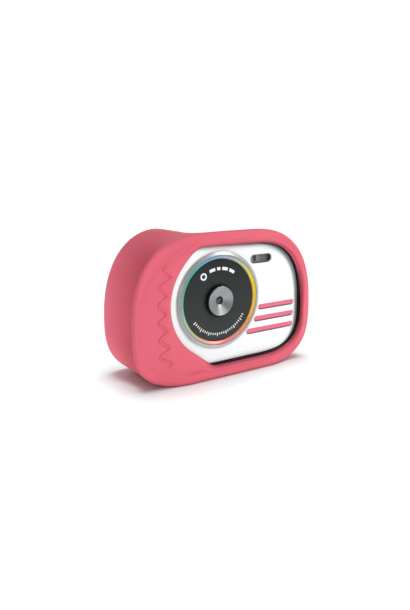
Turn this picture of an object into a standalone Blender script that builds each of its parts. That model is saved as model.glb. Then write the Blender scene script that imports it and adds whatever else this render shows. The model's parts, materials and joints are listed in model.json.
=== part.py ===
"""A child's compact digital camera in a thick silicone bumper sleeve.

The lens looks along -Y, +X is to the right of someone facing the lens and +Z is up. The origin is under
the middle of the camera, on the surface that it stands on. Lengths in this file are millimetres, and
become metres where a mesh is made.
"""

import math
from dataclasses import dataclass

import bmesh
import bpy
from mathutils import Matrix

MM = 0.001
GAP = 0.3  # clearance between neighbouring pieces

# The lens disc sets the scale of the front, and everything else follows from it.
DISC_RADIUS = 20.0
LENS_X = -7.2
LENS_Z = 38.2

# Planes across the camera, as the distance in front of its middle plane.
CREST = 19.5  # foremost and rearmost point of the sleeve's bumpers
LIP = 19.0  # sleeve face round the front window
CASE_FACE = 16.3  # front face of the hard case and of the white faceplate
DISC_FACE = 16.5
POCKET_FLOOR = 14.3  # bottom of the faceplate's pocket
FRONT_INNER = 12.5  # inner side of the case's front wall
SPLIT = -3.0  # where the front case ends and the rear case starts
REAR_INNER = -14.2  # inner side of the case's rear wall
REAR_FACE = -16.0  # outer side of the case's rear wall
WALL = 1.8  # hard case's side wall

# The sleeve's bumpers.
BUMPER_INSET = 3.8  # how far a crest lies inside the bumper's widest line
SIDE_INSET = 0.9  # the same at the front bumper's sides, where its edge is tighter
FRONT_ROUND = 1.8  # depth of the front bumper's rounding
REAR_ROUND = 7.0
GRIP_START = 2.3  # how far behind the front crest the finger grip starts
ROUND_POWER = 2.4  # how square the front bumper's rounding is
SIDE_WAIST = 5.2  # how deep the finger grip runs in, at the sides
GRIP_LEAN = 0.55  # below 1, the grip is deepest close behind the front bumper
TOP_WAIST = 0.6
CORNER_WAIST = 3.0  # the higher, the further round the corners the grip keeps its depth
SADDLE = 4.4  # dip of the rear bumper's top edge, behind the shutter button and to its right
SADDLE_HALF = 29.0
FALL_TOP = 3.6  # the front bumper falls back towards its sides: at the upper corners
FALL_BOTTOM = 3.0  # and at the lower ones
FALL_REACH = 0.8  # how far round the corners that fall takes

# Where things lie on the back of the camera.
KEYPAD_X = -29.5
KEYPAD_Z = 36.0
KEY_RING = 8.4
SCREEN_X = 11.7
SCREEN_Z = 34.2

# Steps along curves.
CORNER_STEPS = 10
TOP_STEPS = 8
BOTTOM_STEPS = 2
ROUND_STEPS = 4
WAIST_STEPS = 7

FACING_FRONT = (math.radians(90), 0, 0)  # local z becomes -Y, so it counts forwards
FACING_BACK = (math.radians(-90), 0, 0)
UPRIGHT = (0, 0, 0)


@dataclass(frozen=True)
class Loaf:
    """A rounded outline, wider below its middle: four superellipse corners, a flat top and a flat bottom."""

    side: float
    top: float
    bottom: float
    wide: float = 26.0  # height of the widest line
    top_flat: float = 21.0  # half length of the flat top
    bottom_flat: float = 23.0
    top_power: float = 2.3
    bottom_power: float = 2.9

    def stations(self):
        """(centre x, corner width, corner height, x share, z share), anticlockwise from the right side."""
        upper = (self.top_flat, self.side - self.top_flat, self.top - self.wide, self.top_power)
        lower = (self.bottom_flat, self.side - self.bottom_flat, self.wide - self.bottom, self.bottom_power)
        found = []
        for first, (flat, wide, high, power), steps in (
            (0, upper, TOP_STEPS),
            (90, upper, 0),
            (180, lower, BOTTOM_STEPS),
            (270, lower, 0),
        ):
            centre = flat if first in (0, 270) else -flat
            for step in range(CORNER_STEPS):
                x_share, z_share = on_superellipse(first + 90 * step / CORNER_STEPS, power)
                found.append((centre, wide, high, x_share, z_share))
            z_share = 1.0 if first == 0 else -1.0
            for step in range(steps):
                found.append((flat * (1 - 2 * step / steps) * z_share, wide, high, 0.0, z_share))
        return found

    def outline(self, inset=0.0):
        """The (x, z) points of the outline, moved inwards."""
        return [
            (centre + (wide - inset) * x_share, self.wide + (high - inset) * z_share)
            for centre, wide, high, x_share, z_share in self.stations()
        ]


def on_superellipse(degrees, power):
    """The point of a superellipse of half width 1 that lies in this direction."""
    x, z = math.cos(math.radians(degrees)), math.sin(math.radians(degrees))
    size = (abs(x) ** power + abs(z) ** power) ** (1 / power)
    return x / size, z / size


FRONT_BUMPER = Loaf(side=52.3, top=71.2, bottom=0.0, top_flat=6.0, top_power=2.8)
REAR_BUMPER = Loaf(side=53.0, top=71.2, bottom=0.0, bottom_flat=25.5, bottom_power=2.6)
CASE = Loaf(side=45.8, top=65.0, bottom=5.2, wide=27.6, top_flat=21.0)


def smooth(share):
    """Eases from 0 to 1."""
    share = min(max(share, 0.0), 1.0)
    return share * share * (3 - 2 * share)


# ---------------------------------------------------------------- materials


def srgb(red, green, blue):
    """A screen colour, 0 to 255, as the linear colour that a shader takes."""

    def linear(value):
        value /= 255
        return value / 12.92 if value <= 0.04045 else ((value + 0.055) / 1.055) ** 2.4

    return (linear(red), linear(green), linear(blue), 1.0)


def material(name, colour, roughness, metallic=0.0):
    made = bpy.data.materials.new(name)
    made.use_nodes = True
    made.diffuse_color = colour
    shader = made.node_tree.nodes["Principled BSDF"]
    shader.inputs["Base Color"].default_value = colour
    shader.inputs["Roughness"].default_value = roughness
    shader.inputs["Metallic"].default_value = metallic
    return made


# ---------------------------------------------------------------- meshes


def add_object(name, mesh, look, place=(0, 0, 0), turn=FACING_FRONT):
    """A named object from a bmesh in millimetres."""
    bmesh.ops.recalc_face_normals(mesh, faces=mesh.faces)
    bmesh.ops.scale(mesh, vec=(MM, MM, MM), verts=mesh.verts)
    data = bpy.data.meshes.new(name)
    mesh.to_mesh(data)
    mesh.free()
    data.shade_smooth()
    data.set_sharp_from_angle(angle=math.radians(35))
    if look:
        data.materials.append(look)
    made = bpy.data.objects.new(name, data)
    made.location = [value * MM for value in place]
    made.rotation_euler = turn
    bpy.context.scene.collection.objects.link(made)
    return made


def slab(outline, low, high, front_bevel=0.0):
    """A plate with this (x, y) outline between two heights, its upper edge rounded if asked."""
    mesh = bmesh.new()
    base = mesh.faces.new([mesh.verts.new((x, y, low)) for x, y in outline])
    grown = bmesh.ops.extrude_face_region(mesh, geom=[base])["geom"]
    moved = [item for item in grown if isinstance(item, bmesh.types.BMVert)]
    bmesh.ops.translate(mesh, vec=(0, 0, high - low), verts=moved)
    if front_bevel:
        edges = [edge for edge in mesh.edges if all(vert in moved for vert in edge.verts)]
        bmesh.ops.bevel(mesh, geom=edges, offset=front_bevel, segments=3, profile=0.6, affect="EDGES")
    return mesh


def lathe(profile, steps=32):
    """A round piece from its closed (radius, height) profile, turned about local z."""
    mesh = bmesh.new()
    points = [mesh.verts.new((radius, 0, height)) for radius, height in profile]
    edges = [mesh.edges.new((a, b)) for a, b in zip(points, points[1:] + points[:1])]
    about_z = dict(cent=(0, 0, 0), axis=(0, 0, 1), angle=math.tau)
    bmesh.ops.spin(mesh, geom=points + edges, steps=steps, use_merge=False, **about_z)
    bmesh.ops.remove_doubles(mesh, verts=mesh.verts, dist=1e-4)
    bmesh.ops.dissolve_degenerate(mesh, edges=mesh.edges, dist=1e-5)
    on_axis = [edge for edge in mesh.edges if not edge.link_faces]
    bmesh.ops.delete(mesh, geom=on_axis, context="EDGES")
    return mesh


def cylinder(radius, low, high, steps=24):
    return lathe([(0, low), (radius, low), (radius, high), (0, high)], steps)


def block(size, bevel=0.0):
    """A box about the origin."""
    mesh = bmesh.new()
    bmesh.ops.create_cube(mesh, size=1.0)
    bmesh.ops.scale(mesh, vec=size, verts=mesh.verts)
    if bevel:
        bmesh.ops.bevel(mesh, geom=mesh.edges[:], offset=bevel, segments=1, affect="EDGES")
    return mesh


def pill(length, width, steps=10):
    """The outline of a bar with round ends, lying along x about the origin."""
    radius = width / 2
    reach = length / 2 - radius
    ends = []
    for centre, first in ((reach, -90), (-reach, 90)):
        for step in range(steps + 1):
            turn = math.radians(first + 180 * step / steps)
            ends.append((centre + radius * math.cos(turn), radius * math.sin(turn)))
    return ends


def moved(outline, x, y):
    return [(a + x, b + y) for a, b in outline]


def ribbon(route, thickness):
    """A strip's (x, y) outline: the route, and back along it at the thickness."""
    back = []
    for index, (x, y) in enumerate(route):
        before = route[max(index - 1, 0)]
        after = route[min(index + 1, len(route) - 1)]
        run, rise = after[0] - before[0], after[1] - before[1]
        scale = thickness / math.hypot(run, rise)
        back.append((x - rise * scale, y + run * scale))
    return route + back[::-1]


# The exact solver leaves open edges where the cases' many posts and bores meet.
SOLVERS = {"front_case": "MANIFOLD", "rear_case": "MANIFOLD"}


def combine(piece, tool, operation):
    """Cuts the tool from the piece, or joins it on."""
    tool.hide_render = True
    tool.display_type = "WIRE"
    change = piece.modifiers.new(tool.name, "BOOLEAN")
    change.operation = operation
    change.object = tool
    change.solver = SOLVERS.get(piece.name, "EXACT")


def cut(piece, name, mesh, place=(0, 0, 0), turn=FACING_FRONT):
    combine(piece, add_object(f"{piece.name}_cut_{name}", mesh, None, place, turn), "DIFFERENCE")


def join(piece, name, mesh, place=(0, 0, 0), turn=FACING_FRONT):
    combine(piece, add_object(f"{piece.name}_add_{name}", mesh, None, place, turn), "UNION")


# ---------------------------------------------------------------- outlines of the front


def lens_side_outline(side, top, bottom, arc):
    """The D of the front window: loaf corners on the right, and an arc round the lens on the left."""
    wide, top_flat, bottom_flat = 28.2, 12.4, 16.4
    top_power, bottom_power = 2.7, 3.0
    leave_arc = 233  # where the arc runs into the slanting straight, degrees
    corner_steps, arc_steps = 10, 16
    points = []
    for step in range(corner_steps + 1):
        x_share, z_share = on_superellipse(90 * step / corner_steps, top_power)
        points.append((top_flat + (side - top_flat) * x_share, wide + (top - wide) * z_share))
    first = 180 - math.degrees(math.asin((top - LENS_Z) / arc))
    for step in range(arc_steps + 1):
        turn = math.radians(first + (leave_arc - first) * step / arc_steps)
        points.append((LENS_X + arc * math.cos(turn), LENS_Z + arc * math.sin(turn)))
    slant = math.radians(leave_arc + 90)
    points.append((points[-1][0] + (bottom - points[-1][1]) / math.tan(slant), bottom))
    for step in range(corner_steps):
        x_share, z_share = on_superellipse(270 + 90 * step / corner_steps, bottom_power)
        points.append((bottom_flat + (side - bottom_flat) * x_share, wide + (wide - bottom) * z_share))
    return points


def stripe_bars():
    """(left end, right end, height) of the three stripes, which end on a circle round the lens."""
    top, pitch, right, circle = 31.6, 5.9, 40.8, 25.0
    for row in range(3):
        height = top - pitch * row
        yield LENS_X + math.sqrt(circle**2 - (height - LENS_Z) ** 2), right, height


STRIPE_WIDTH = 2.6
FACEPLATE = dict(side=44.0, top=63.9, bottom=7.0, arc=30.0)
FRONT_WINDOW = dict(side=44.9, top=64.3, bottom=6.1, arc=27.8)
FLASH = dict(x=18.1, z=56.3, length=13.4, width=4.2)

# ---------------------------------------------------------------- the sleeve

SHUTTER = dict(x=-11.0, y=-0.5, radius=5.4)
POWER = dict(x=9.0, y=-0.5, length=9.0, width=5.0)
FLAP = dict(low=16.5, high=42.0, y=-0.3, depth=8.6)


def sleeve_ring(height, share, tuck, fall, inset=0.0):
    """One ring of the sleeve's skin.

    height is how far in front, share how much of the rear bumper it has, tuck how far it has rounded in
    from the widest line (0) to the crest (1), and fall how much it falls back towards the sides.
    """
    points = []
    grip = math.sin(math.pi * share_of_depth(height) ** GRIP_LEAN) ** 2
    for ahead, behind in zip(FRONT_BUMPER.stations(), REAR_BUMPER.stations()):
        centre, wide, high, x_share, z_share = (a + (b - a) * share for a, b in zip(ahead, behind))
        waist = SIDE_WAIST * abs(x_share) ** 1.5
        if z_share > 0:
            waist += (TOP_WAIST - waist) * smooth(z_share**CORNER_WAIST)
        else:
            waist *= 1 - smooth(-z_share)
        tighter = (BUMPER_INSET - SIDE_INSET) * (1 - smooth(abs(z_share))) * (1 - share)
        back_off = inset + tuck * (BUMPER_INSET - tighter) + waist * grip
        x = centre + (wide - back_off) * x_share
        z = FRONT_BUMPER.wide + (high - back_off) * z_share
        if z_share > 0 and x > -SADDLE_HALF:
            dip = math.cos(math.pi * min(x, 0) / (2 * SADDLE_HALF)) ** 2
            z -= SADDLE * share * dip * smooth(2 * z_share - 1)
        drop = FALL_BOTTOM + (FALL_TOP - FALL_BOTTOM) * (1 + z_share) / 2
        points.append((x, z, height - drop * smooth(abs(x_share) / FALL_REACH) * fall))
    return points


def share_of_depth(height):
    """0 where the finger grip starts, and 1 where the rear bumper's rounding does."""
    front, rear = CREST - GRIP_START, REAR_ROUND - CREST
    return min(max((front - height) / (front - rear), 0.0), 1.0)


def sleeve_skin():
    """The sleeve's outer shape as one solid, before it is hollowed out."""
    rings = [sleeve_ring(LIP, 0, 1, 0, inset=5.0)]
    for step in range(ROUND_STEPS):
        ahead, aside = on_superellipse(90 - 90 * step / ROUND_STEPS, ROUND_POWER)[::-1]
        rings.append(sleeve_ring(CREST - FRONT_ROUND * (1 - ahead), 0, 1 - aside, 1))
    rings.append(sleeve_ring(CREST - FRONT_ROUND, 0, 0, 1))
    front, rear = CREST - GRIP_START, REAR_ROUND - CREST
    for step in range(WAIST_STEPS + 1):
        share = (step / WAIST_STEPS) ** 1.5
        rings.append(sleeve_ring(front + (rear - front) * share, smooth(share), 0, 1 - smooth(3 * share)))
    for step in range(1, ROUND_STEPS + 1):
        turn = math.radians(90 * step / ROUND_STEPS)
        rings.append(sleeve_ring(rear - REAR_ROUND * math.sin(turn), 1, 1 - math.cos(turn), 0))

    mesh = bmesh.new()
    loops = [[mesh.verts.new(point) for point in ring] for ring in rings]
    for ahead, behind in zip(loops, loops[1:]):
        for index in range(len(ahead)):
            nearby = (index + 1) % len(ahead)
            mesh.faces.new((ahead[index], ahead[nearby], behind[nearby], behind[index]))
    mesh.faces.new(loops[0])
    mesh.faces.new(loops[-1])
    return mesh


def make_sleeve(look):
    lip_thickness, window_overlap, through = 2.4, 2.0, 5.0
    sleeve = add_object("silicone_sleeve", sleeve_skin(), look)
    cavity = slab(CASE.outline(-GAP), REAR_FACE - GAP, LIP - lip_thickness)
    cut(sleeve, "cavity", cavity)
    window = slab(lens_side_outline(**FRONT_WINDOW), LIP - 2 * lip_thickness, CREST + through)
    cut(sleeve, "front_window", window)
    cut(sleeve, "rear_window", slab(CASE.outline(window_overlap), -CREST - through, REAR_FACE + 2))
    around, below, above = 0.8, CASE.top - through, FRONT_BUMPER.top + through
    hole = cylinder(SHUTTER["radius"] + around, below, above, 32)
    cut(sleeve, "shutter_hole", hole, (SHUTTER["x"], SHUTTER["y"], 0), UPRIGHT)
    hole = slab(pill(POWER["length"] + 2 * around, POWER["width"] + 2 * around), below, above)
    cut(sleeve, "power_hole", hole, (POWER["x"], POWER["y"], 0), UPRIGHT)
    swing = 1.9  # room under the flap's lower edge for it to turn in
    low, high = FLAP["low"] - swing, FLAP["high"] + 1.5 * around
    hole = block((20, FLAP["depth"] + 2 * around, high - low))
    cut(sleeve, "port_hole", hole, (REAR_BUMPER.side, FLAP["y"], (low + high) / 2), UPRIGHT)


# ---------------------------------------------------------------- the hard case

CASE_SCREWS = ((-35.0, 11.5), (35.0, 11.5), (-31.0, 56.5), (31.0, 56.5))
BOARD_SCREWS = ((-38.5, 30.5), (20.0, 11.5))
POST_RADIUS = 3.4
SCREW_HOLE = 1.3


def make_front_case(look):
    case = add_object("front_case", slab(CASE.outline(), SPLIT, CASE_FACE, 0.3), look)
    cut(case, "inside", slab(CASE.outline(WALL), SPLIT - 5, FRONT_INNER))
    grown_by = dict(side=GAP, top=GAP, bottom=-GAP, arc=GAP)
    pocket = lens_side_outline(**{key: FACEPLATE[key] + more for key, more in grown_by.items()})
    cut(case, "faceplate_pocket", slab(pocket, POCKET_FLOOR, CASE_FACE + 5))
    cut(case, "barrel_hole", cylinder(6.6, FRONT_INNER - 2, CASE_FACE + 2), (LENS_X, 0, LENS_Z))
    cut(
        case,
        "flash_hole",
        slab(pill(FLASH["length"] + 1.4, FLASH["width"] + 3.0), FRONT_INNER - 2, CASE_FACE),
        (FLASH["x"], 0, FLASH["z"]),
    )
    cut(case, "stripe_hole", slab(insert_outline(GAP), FRONT_INNER - 2, CASE_FACE))
    for number, (x, z) in enumerate(CASE_SCREWS, 1):
        join(case, f"post_{number}", cylinder(POST_RADIUS, SPLIT, FRONT_INNER + 0.9, 20), (x, 0, z))
    for number, (x, z) in enumerate(BOARD_SCREWS, 1):
        join(case, f"board_post_{number}", cylinder(2.6, -1.2, FRONT_INNER + 0.9, 16), (x, 0, z))
    for number, (x, z) in enumerate(CASE_SCREWS + BOARD_SCREWS, 1):
        cut(case, f"screw_hole_{number}", cylinder(SCREW_HOLE, SPLIT - 5, 9.5, 16), (x, 0, z))
    cut(case, "shutter_bore", cylinder(2.9, 60, 70), (SHUTTER["x"], SHUTTER["y"], 0), UPRIGHT)
    cut(case, "power_bore", slab(pill(6.2, 4.0), 60, 70), (POWER["x"], POWER["y"], 0), UPRIGHT)
    cut(case, "usb_mouth", block((8, 3.8, 10.0)), (CASE.side, USB["y"], USB["z"]), UPRIGHT)
    cut(case, "card_mouth", block((8, 2.0, 12.6)), (CASE.side, CARD["y"], CARD["z"]), UPRIGHT)


def make_rear_case(look):
    floor_gap = SPLIT - GAP
    case = add_object("rear_case", slab(CASE.outline(), REAR_FACE, floor_gap), look)
    cut(case, "inside", slab(CASE.outline(WALL), REAR_INNER, SPLIT + 5))
    for number, (x, z) in enumerate(CASE_SCREWS, 1):
        join(case, f"post_{number}", cylinder(POST_RADIUS, REAR_INNER - 0.9, floor_gap, 20), (x, 0, z))
    for number, (x, z) in enumerate(CASE_SCREWS, 1):
        cut(case, f"screw_hole_{number}", cylinder(SCREW_HOLE, REAR_FACE - 1, SPLIT + 1, 16), (x, 0, z))
        cut(case, f"screw_well_{number}", cylinder(2.5, REAR_FACE - 1, -6.9, 20), (x, 0, z))
    glass = rounded(SCREEN["glass"], 3.0)
    cut(case, "glass_pocket", slab(moved(grow(glass, GAP), SCREEN_X, SCREEN_Z), REAR_FACE - 1, -14.8))
    view = rounded(SCREEN["view"], 0.8)
    cut(case, "screen_hole", slab(moved(view, SCREEN_X, SCREEN_Z), REAR_FACE - 1, REAR_INNER + 1))
    behind, ahead = REAR_FACE - 1, REAR_INNER + 1
    for name, x, z in key_places():
        cut(case, f"{name}_hole", cylinder(KEY_RADIUS + GAP + 0.1, behind, ahead, 20), (x, 0, z))
    slot_pitch = 2.4
    for number in (-1, 0, 1):
        slot = slab(pill(8.0, 1.2, 6), behind, ahead)
        cut(case, f"sound_slot_{number + 2}", slot, (SPEAKER["x"], 0, SPEAKER["z"] + slot_pitch * number))
    cut(case, "microphone_hole", cylinder(0.7, behind, ahead, 12), (MICROPHONE_X, 0, SPEAKER["z"]))
    cut(case, "lamp_hole", cylinder(1.3, behind, ahead, 16), (LAMP_X, 0, SPEAKER["z"]))


def rounded(size, radius, steps=5):
    """The outline of a rectangle with round corners, about the origin."""
    wide, high = size[0] / 2 - radius, size[1] / 2 - radius
    points = []
    for x, z, first in ((wide, high, 0), (-wide, high, 90), (-wide, -high, 180), (wide, -high, 270)):
        for step in range(steps + 1):
            turn = math.radians(first + 90 * step / steps)
            points.append((x + radius * math.cos(turn), z + radius * math.sin(turn)))
    return points


def grow(outline, by):
    """An outline about the origin, made larger by the same distance each way."""
    return [(x + math.copysign(by, x), z + math.copysign(by, z)) for x, z in outline]


def make_case_screws(look):
    for number, (x, z) in enumerate(CASE_SCREWS, 1):
        head, under, tip = -9.0, -7.2, 6.0
        screw = lathe([(0, head), (2.2, head), (2.2, under), (1.0, under), (1.0, tip), (0, tip + 0.8)], 16)
        made = add_object(f"case_screw_{number}", screw, look, (x, 0, z))
        cut(made, "recess", cylinder(1.0, head - 1, head + 0.9, 6), (x, 0, z))
    for number, (x, z) in enumerate(BOARD_SCREWS, 1):
        head, under, tip = -4.6, -3.2, 6.0
        screw = lathe([(0, head), (2.1, head), (2.1, under), (1.0, under), (1.0, tip), (0, tip + 0.8)], 16)
        add_object(f"board_screw_{number}", screw, look, (x, 0, z))


# ---------------------------------------------------------------- the front trim


def insert_outline(by):
    low, high, left, right = 17.2, 34.2, 8.2, 42.2
    return [(left - by, low - by), (right + by, low - by), (right + by, high + by), (left - by, high + by)]


def make_faceplate(look):
    edge_round = 1.0
    sheet = slab(lens_side_outline(**FACEPLATE), POCKET_FLOOR + GAP, CASE_FACE, edge_round)
    plate = add_object("faceplate", sheet, look)
    behind, ahead = POCKET_FLOOR - 4, CASE_FACE + 4
    cut(plate, "lens_hole", cylinder(22.9, behind, ahead, 48), (LENS_X, 0, LENS_Z))
    slot = slab(pill(FLASH["length"], FLASH["width"]), behind, ahead)
    cut(plate, "flash_slot", slot, (FLASH["x"], 0, FLASH["z"]))
    for row, (left, right, height) in enumerate(stripe_bars(), 1):
        bar = slab(pill(right - left, STRIPE_WIDTH, 6), behind, ahead)
        cut(plate, f"stripe_slot_{row}", bar, ((left + right) / 2, 0, height))


def make_stripe_insert(look):
    insert = add_object("stripe_insert", slab(insert_outline(0), 13.5, POCKET_FLOOR), look)
    for row, (left, right, height) in enumerate(stripe_bars(), 1):
        bar = slab(pill(right - left - 2 * GAP, STRIPE_WIDTH - 2 * GAP, 6), 13.8, CASE_FACE - 0.4)
        join(insert, f"bar_{row}", bar, ((left + right) / 2, 0, height))


def make_lens_trim(looks):
    centre = (LENS_X, 0, LENS_Z)
    bezel = [
        (18.0, 14.6), (22.6, 14.6), (22.6, 16.6), (23.6, 16.6), (23.6, 16.9), (21.8, 17.8), (21.8, 15.0),
        (18.0, 15.0),
    ]  # fmt: skip
    add_object("lens_bezel", lathe(bezel, 48), looks["silver"], centre)
    ring = [(20.15, 15.3), (21.5, 15.3), (21.5, 17.6), (20.15, 16.7)]
    add_object("rainbow_ring", lathe(ring, 48), looks["rainbow"], centre)
    disc = [(7.5, 15.3), (DISC_RADIUS - 0.15, 15.3), (DISC_RADIUS - 0.15, DISC_FACE), (7.5, DISC_FACE)]
    add_object("lens_disc", lathe(disc, 48), looks["disc"], centre)
    cone = [(2.1, 14.6), (7.2, 14.6), (7.2, 18.2), (6.9, 18.5), (2.1, 16.8)]
    add_object("lens_cone", lathe(cone, 36), looks["steel"], centre)
    dome = [(0, 15.4), (1.8, 15.4), (1.8, 16.0), (0, 16.3)]
    add_object("lens_window", lathe(dome, 24), looks["glass"], centre)


def make_flash(looks):
    x, z = FLASH["x"], FLASH["z"]
    window = slab(pill(FLASH["length"] - 2 * GAP, FLASH["width"] - 2 * GAP), 14.9, CASE_FACE - 0.4)
    add_object("flash_window", window, looks["clear"], (x, 0, z))
    reflector = add_object("flash_reflector", slab(pill(13.4, 5.8), 10.0, 14.4), looks["silver"], (x, 0, z))
    cut(reflector, "bowl", slab(pill(11.4, 3.8), 11.4, 20), (x, 0, z))
    add_object("flash_led", block((3.4, 0.8, 2.6)), looks["led"], (x, -12.1, z), UPRIGHT)


# ---------------------------------------------------------------- the camera module


def make_camera_module(looks):
    centre = (LENS_X, 0, LENS_Z)
    barrel = [
        (3.0, 7.0), (4.4, 7.0), (4.4, 14.2), (1.8, 14.2), (1.8, 12.6), (3.0, 12.6),
    ]  # fmt: skip
    add_object("lens_barrel", lathe(barrel, 32), looks["black"], centre)
    bead = [(0, 9.4), (2.7, 10.0), (2.7, 10.6), (0, 11.2)]
    add_object("inner_lens", lathe(bead, 24), looks["glass"], centre)
    collar = lathe([(4.7, 7.4), (6.0, 7.4), (6.0, 11.6), (4.7, 11.6)], 32)
    holder = add_object("lens_holder", collar, looks["black"], centre)
    join(holder, "foot", slab(rectangle(14.0, 14.0), 5.3, 7.8), centre)
    cut(holder, "well", cylinder(4.7, 4.0, 12.0, 32), centre)
    add_object("image_sensor", slab(rectangle(6.0, 6.0), 5.3, 6.2), looks["chip"], centre)
    add_object("sensor_board", slab(rectangle(22.0, 22.0), 4.0, 5.0), looks["board"], centre)
    drop = [(3.7, 34.0), (3.7, 24.0), (3.3, 22.6), (1.2, 21.6), (-0.3, 20.6), (-0.9, 19.4), (-0.9, 14.0)]
    strip = slab(ribbon(drop, 0.2), -4.0, 4.0)
    bmesh.ops.transform(strip, matrix=AXES_ALONG_X, verts=strip.verts)
    add_object("sensor_ribbon", strip, looks["ribbon"], (LENS_X, 0, 0))


def rectangle(wide, high):
    """The outline of a rectangle about the origin."""
    x, y = wide / 2, high / 2
    return [(x, y), (-x, y), (-x, -y), (x, -y)]


# Turns a slab drawn in (front distance, z) and extruded about zero into one that lies along x.
AXES_ALONG_X = Matrix(((0, 0, 1, 0), (0, 1, 0, 0), (1, 0, 0, 0), (0, 0, 0, 1)))

# ---------------------------------------------------------------- boards and electronics

BOARD_FRONT = -1.5
BOARD_BACK = -2.9
USB = dict(x=CASE.side - 4.8, y=-0.2, z=22.5)
CARD = dict(x=CASE.side - 8.0, y=0.4, z=34.8)  # the middle of the memory card
SPEAKER = dict(x=-18.0, z=57.3)
MICROPHONE_X = -5.0
LAMP_X = 2.5
SCREEN = dict(module=(51.0, 36.0), glass=(53.0, 38.6), view=(41.6, 31.6))
TOP_SWITCH_TOP = 60.9
PRESS_GAP = 1.0  # between a top button at rest and its switch


def make_electronics(looks):
    board = add_object("main_board", slab(CASE.outline(WALL + 1.2), BOARD_BACK, BOARD_FRONT), looks["board"])
    for number, (x, z) in enumerate(CASE_SCREWS, 1):
        cut(board, f"notch_{number}", cylinder(POST_RADIUS + 0.8, -5, 0), (x, 0, z))
    for number, (x, z) in enumerate(BOARD_SCREWS, 1):
        cut(board, f"screw_hole_{number}", cylinder(SCREW_HOLE, -5, 0, 16), (x, 0, z))
    cut(board, "top_edge", block((60, 10, 6)), (0, 0, 63.8), UPRIGHT)
    add_object("processor", block((12, 1.2, 12), 0.15), looks["chip"], (-8, 3.8, 36), UPRIGHT)

    battery = block((30, 6.0, 34), 0.9)
    add_object("battery", battery, looks["foil"], (24, -8.8, 33), UPRIGHT)

    place = (USB["x"], USB["y"], USB["z"])
    usb = add_object("usb_port", block((7.3, 3.2, 9.2)), looks["steel"], place, UPRIGHT)
    cut(usb, "mouth", block((6.5, 2.4, 8.2)), (USB["x"] + 1.0, USB["y"], USB["z"]), UPRIGHT)

    place = (CARD["x"], CARD["y"], CARD["z"])
    body = block((12.6, 1.7, 12.8))
    socket = add_object("card_socket", body, looks["steel"], (CARD["x"] - 1.8, CARD["y"], CARD["z"]), UPRIGHT)
    cut(socket, "slot", block((15.0, 1.1, 11.8)), place, UPRIGHT)
    add_object("memory_card", block((14.0, 0.5, 11.0)), looks["chip"], place, UPRIGHT)

    glass = slab(rounded(SCREEN["glass"], 3.0), -15.9, -15.1)
    add_object("display_window", glass, looks["screen"], (SCREEN_X, 0, SCREEN_Z))
    module = slab(rectangle(*SCREEN["module"]), -13.9, -11.2)
    add_object("lcd_module", module, looks["panel"], (SCREEN_X, 0, SCREEN_Z))
    fold = [(-10.9, 30.0), (-10.9, 19.0), (-9.9, 17.6), (-5.0, 17.0), (-3.9, 18.0), (-3.5, 19.4), (-3.5, 27.0)]
    strip = slab(ribbon(fold, 0.2), -6.0, 6.0)
    bmesh.ops.transform(strip, matrix=AXES_ALONG_X, verts=strip.verts)
    add_object("lcd_ribbon", strip, looks["ribbon"], (SCREEN_X, 0, 0))

    speaker = slab(rounded((13.6, 8.2), 2.6), -13.7, -10.2)
    add_object("speaker", speaker, looks["black"], (SPEAKER["x"], 0, SPEAKER["z"]))
    add_object("microphone", cylinder(2.0, -13.8, -11.6, 16), looks["steel"], (MICROPHONE_X, 0, SPEAKER["z"]))
    lamp = lathe([(0, -15.9), (1.0, -15.9), (1.0, -13.9), (1.7, -13.9), (1.7, -12.4), (0, -12.4)], 16)
    add_object("status_lamp", lamp, looks["lamp"], (LAMP_X, 0, SPEAKER["z"]))


# ---------------------------------------------------------------- keys and switches

KEY_RADIUS = 3.1


def key_places():
    """(name, x, z) of each key on the back: four round the centre key, and two below."""
    yield "key_ok", KEYPAD_X, KEYPAD_Z
    for name, turn in (("key_up", 90), ("key_left", 0), ("key_down", 270), ("key_right", 180)):
        angle = math.radians(turn)
        yield name, KEYPAD_X + KEY_RING * math.cos(angle), KEYPAD_Z + KEY_RING * math.sin(angle)
    for name, side in (("key_menu", 1), ("key_play", -1)):
        yield name, KEYPAD_X + 5.6 * side, KEYPAD_Z - 16.4


def make_keys(looks):
    crown, shoulder, flange = 17.0, 16.4, 3.9
    profile = [
        (0, 12.9), (flange, 12.9), (flange, 13.8), (KEY_RADIUS, 13.8), (KEY_RADIUS, shoulder),
        (KEY_RADIUS - 0.8, crown), (0, crown + 0.1),
    ]  # fmt: skip
    for name, x, z in key_places():
        add_object(name, lathe(profile, 16), looks["key"], (x, 0, z), FACING_BACK)
        switch = block((4.4, 1.4, 4.4))
        made = add_object(name.replace("key", "switch"), switch, looks["steel"], (x, 11.2, z), UPRIGHT)
        join(made, "plunger", cylinder(1.1, 11.6, 12.2, 8), (x, 0, z), FACING_BACK)
    sheet = slab(rounded((22.4, 33.0), 1.5), -10.2, -9.2)
    pad = add_object("button_board", sheet, looks["board"], (-28.8, 0, 32.2))
    cut(pad, "post_notch", cylinder(POST_RADIUS + 0.8, -12, -8), (-35.0, 0, 11.5))


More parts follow.
